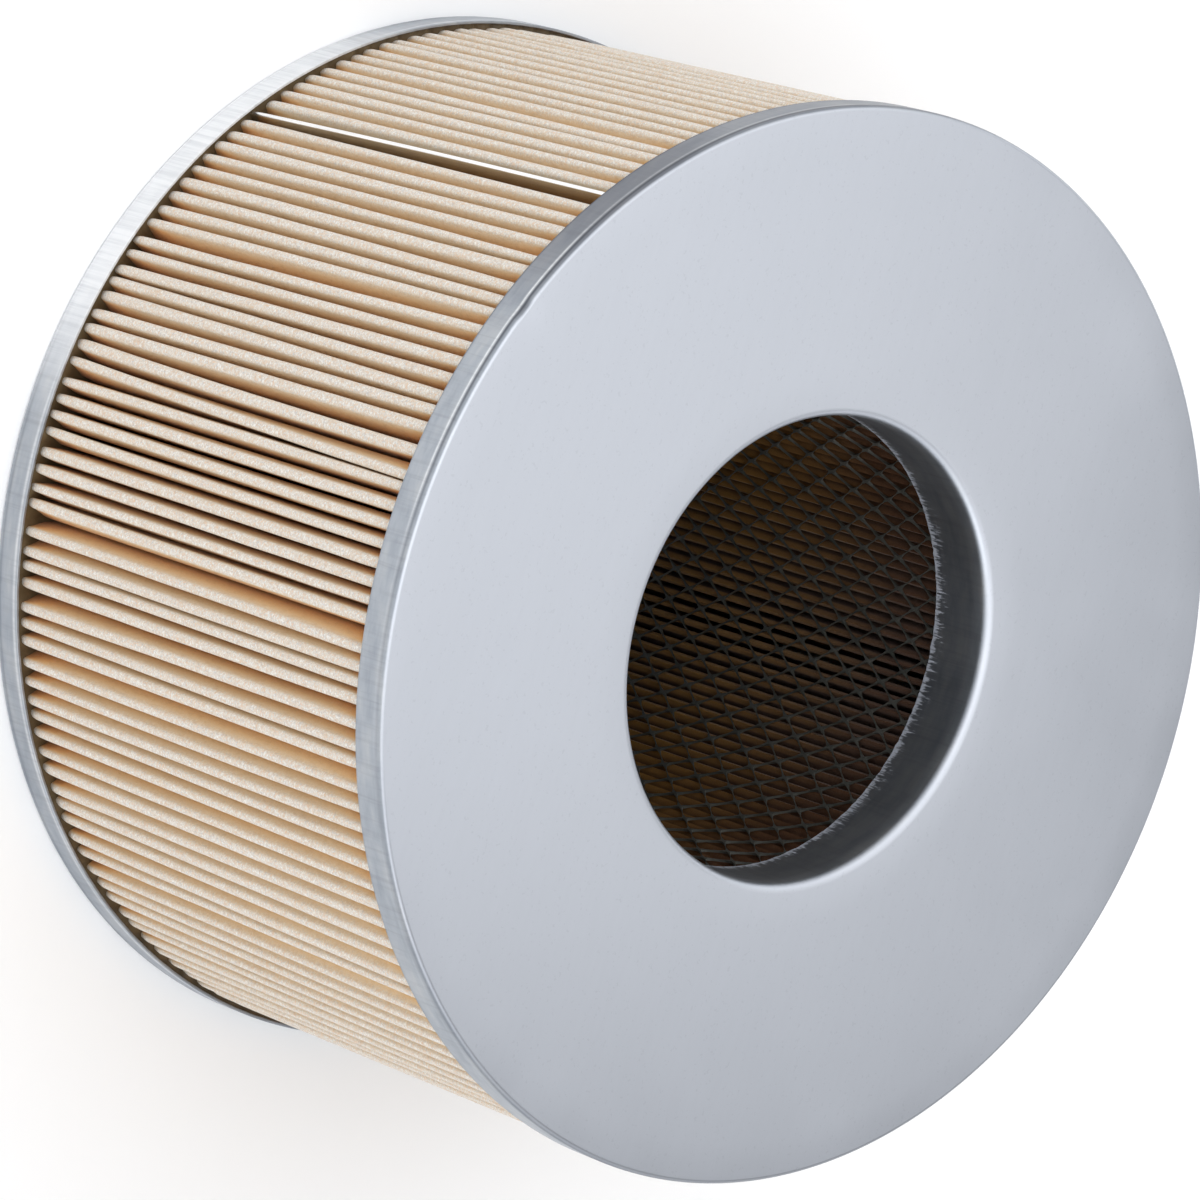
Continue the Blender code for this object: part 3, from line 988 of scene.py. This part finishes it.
def make_floor(material):
    """Square floor of equal cells, under the closed end."""
    row = FLOOR_CELLS + 1
    points, faces = [], []
    for i in range(row):
        for j in range(row):
            points.append((FLOOR_SIDE * (i / FLOOR_CELLS - 0.5), FLOOR_SIDE * (j / FLOOR_CELLS - 0.5), 0.0))
    for i in range(FLOOR_CELLS):
        for j in range(FLOOR_CELLS):
            corner = i * row + j
            faces.append((corner, corner + row, corner + row + 1, corner + 1))
    return add_mesh("floor", points, faces, material)


def add_softbox(name, place, target, size, power):
    """A rectangular light turned towards the target."""
    light = bpy.data.lights.new(name, "AREA")
    light.shape = "RECTANGLE"
    light.size, light.size_y = size
    light.energy = power
    lamp = bpy.data.objects.new(name, light)
    lamp.location = place
    lamp.rotation_mode = "QUATERNION"
    lamp.rotation_quaternion = (Vector(target) - Vector(place)).to_track_quat("-Z", "Y")
    bpy.context.scene.collection.objects.link(lamp)
    return lamp


def direction_to(azimuth, elevation):
    """Unit vector at an azimuth and elevation in degrees."""
    a, e = math.radians(azimuth), math.radians(elevation)
    return Vector((math.cos(a) * math.cos(e), math.sin(a) * math.cos(e), math.sin(e)))


def set_world():
    """Even pale surroundings, with a darker patch on the side that the flat face mirrors."""
    world = bpy.data.worlds.new("studio")
    bpy.context.scene.world = world
    world.use_nodes = True
    tree = world.node_tree
    background = tree.nodes["Background"]
    direction = tree.nodes.new("ShaderNodeTexCoord")
    towards = tree.nodes.new("ShaderNodeVectorMath")
    towards.operation = "DOT_PRODUCT"
    towards.inputs[1].default_value = direction_to(*DARK_PATCH)
    strength = tree.nodes.new("ShaderNodeMapRange")
    strength.inputs["From Min"].default_value = PATCH_EDGE
    strength.inputs["From Max"].default_value = PATCH_CORE
    strength.inputs["To Min"].default_value = SKY_STRENGTH
    strength.inputs["To Max"].default_value = PATCH_STRENGTH
    tree.links.new(direction.outputs["Generated"], towards.inputs[0])
    tree.links.new(towards.outputs["Value"], strength.inputs["Value"])
    tree.links.new(strength.outputs["Result"], background.inputs["Strength"])
    background.inputs["Color"].default_value = SKY_COLOUR


def add_camera():
    """Long lens from the -Y side and above, rolled so that the filter's axis lies across the picture."""
    data = bpy.data.cameras.new("camera")
    data.lens = FOCAL_LENGTH
    data.sensor_width = SENSOR_WIDTH
    camera = bpy.data.objects.new("camera", data)
    bpy.context.scene.collection.objects.link(camera)
    bpy.context.scene.camera = camera
    aim = Vector((0.0, 0.0, LENGTH / 2)) + AIM_OFFSET
    level = math.cos(VIEW_ELEVATION)
    across, along = math.sin(VIEW_AZIMUTH) * level, -math.cos(VIEW_AZIMUTH) * level
    back = Vector((across, along, math.sin(VIEW_ELEVATION)))
    camera.location = aim + back * VIEW_DISTANCE
    camera.rotation_mode = "QUATERNION"
    camera.rotation_quaternion = (-back).to_track_quat("-Z", "Y") @ Quaternion((0, 0, 1), VIEW_ROLL)
    return camera


# ---------------------------------------------------------------- assembly


def dress(piece, slot, *nodes):
    """Puts the piece on the root body and hides the CAD nodes that it replaces. The slot argument is not
    used.
    """
    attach(piece, "root")
    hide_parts(*nodes)


adhesive = adhesive_material()
cap_steel = cap_material()
dress(make_front_cap(cap_steel), "cap_steel", "front_end_cap")
dress(make_back_cap(cap_steel), "cap_steel", "back_end_cap")
dress(make_pleats(paper_material()), "filter_paper", "pleated_media")
dress(make_seam_channel(strip_material()), "bright_strip", "pleat_seam_clip")
dress(make_expanded_tube(expanded_material()), "expanded_steel", "inner_support_tube")
back_ring = make_potting("back_adhesive", adhesive, POTTING_TOP, 1, BACK_POTTING_RADIUS)
front_ring = make_potting("front_adhesive", adhesive, LENGTH - POTTING_TOP, -1, FRONT_POTTING_RADIUS)
dress(back_ring, "adhesive", "back_potting")
dress(front_ring, "adhesive", "front_potting")

make_floor(floor_material())
set_world()
middle = Vector((0, 0, LENGTH / 2))
add_softbox("front", middle + 2.0 * direction_to(-90, 50), middle, size=(2.4, 0.8), power=4.6)
add_softbox("side", middle + 1.6 * direction_to(-15, 35), middle, size=(0.9, 0.9), power=3.4)
add_softbox("overhead", (-0.33, 0.07, 0.62), (-0.33, 0.07, 0.0), size=(1.0, 1.0), power=2.25)
add_camera()
bpy.context.scene.view_settings.view_transform = "Standard"
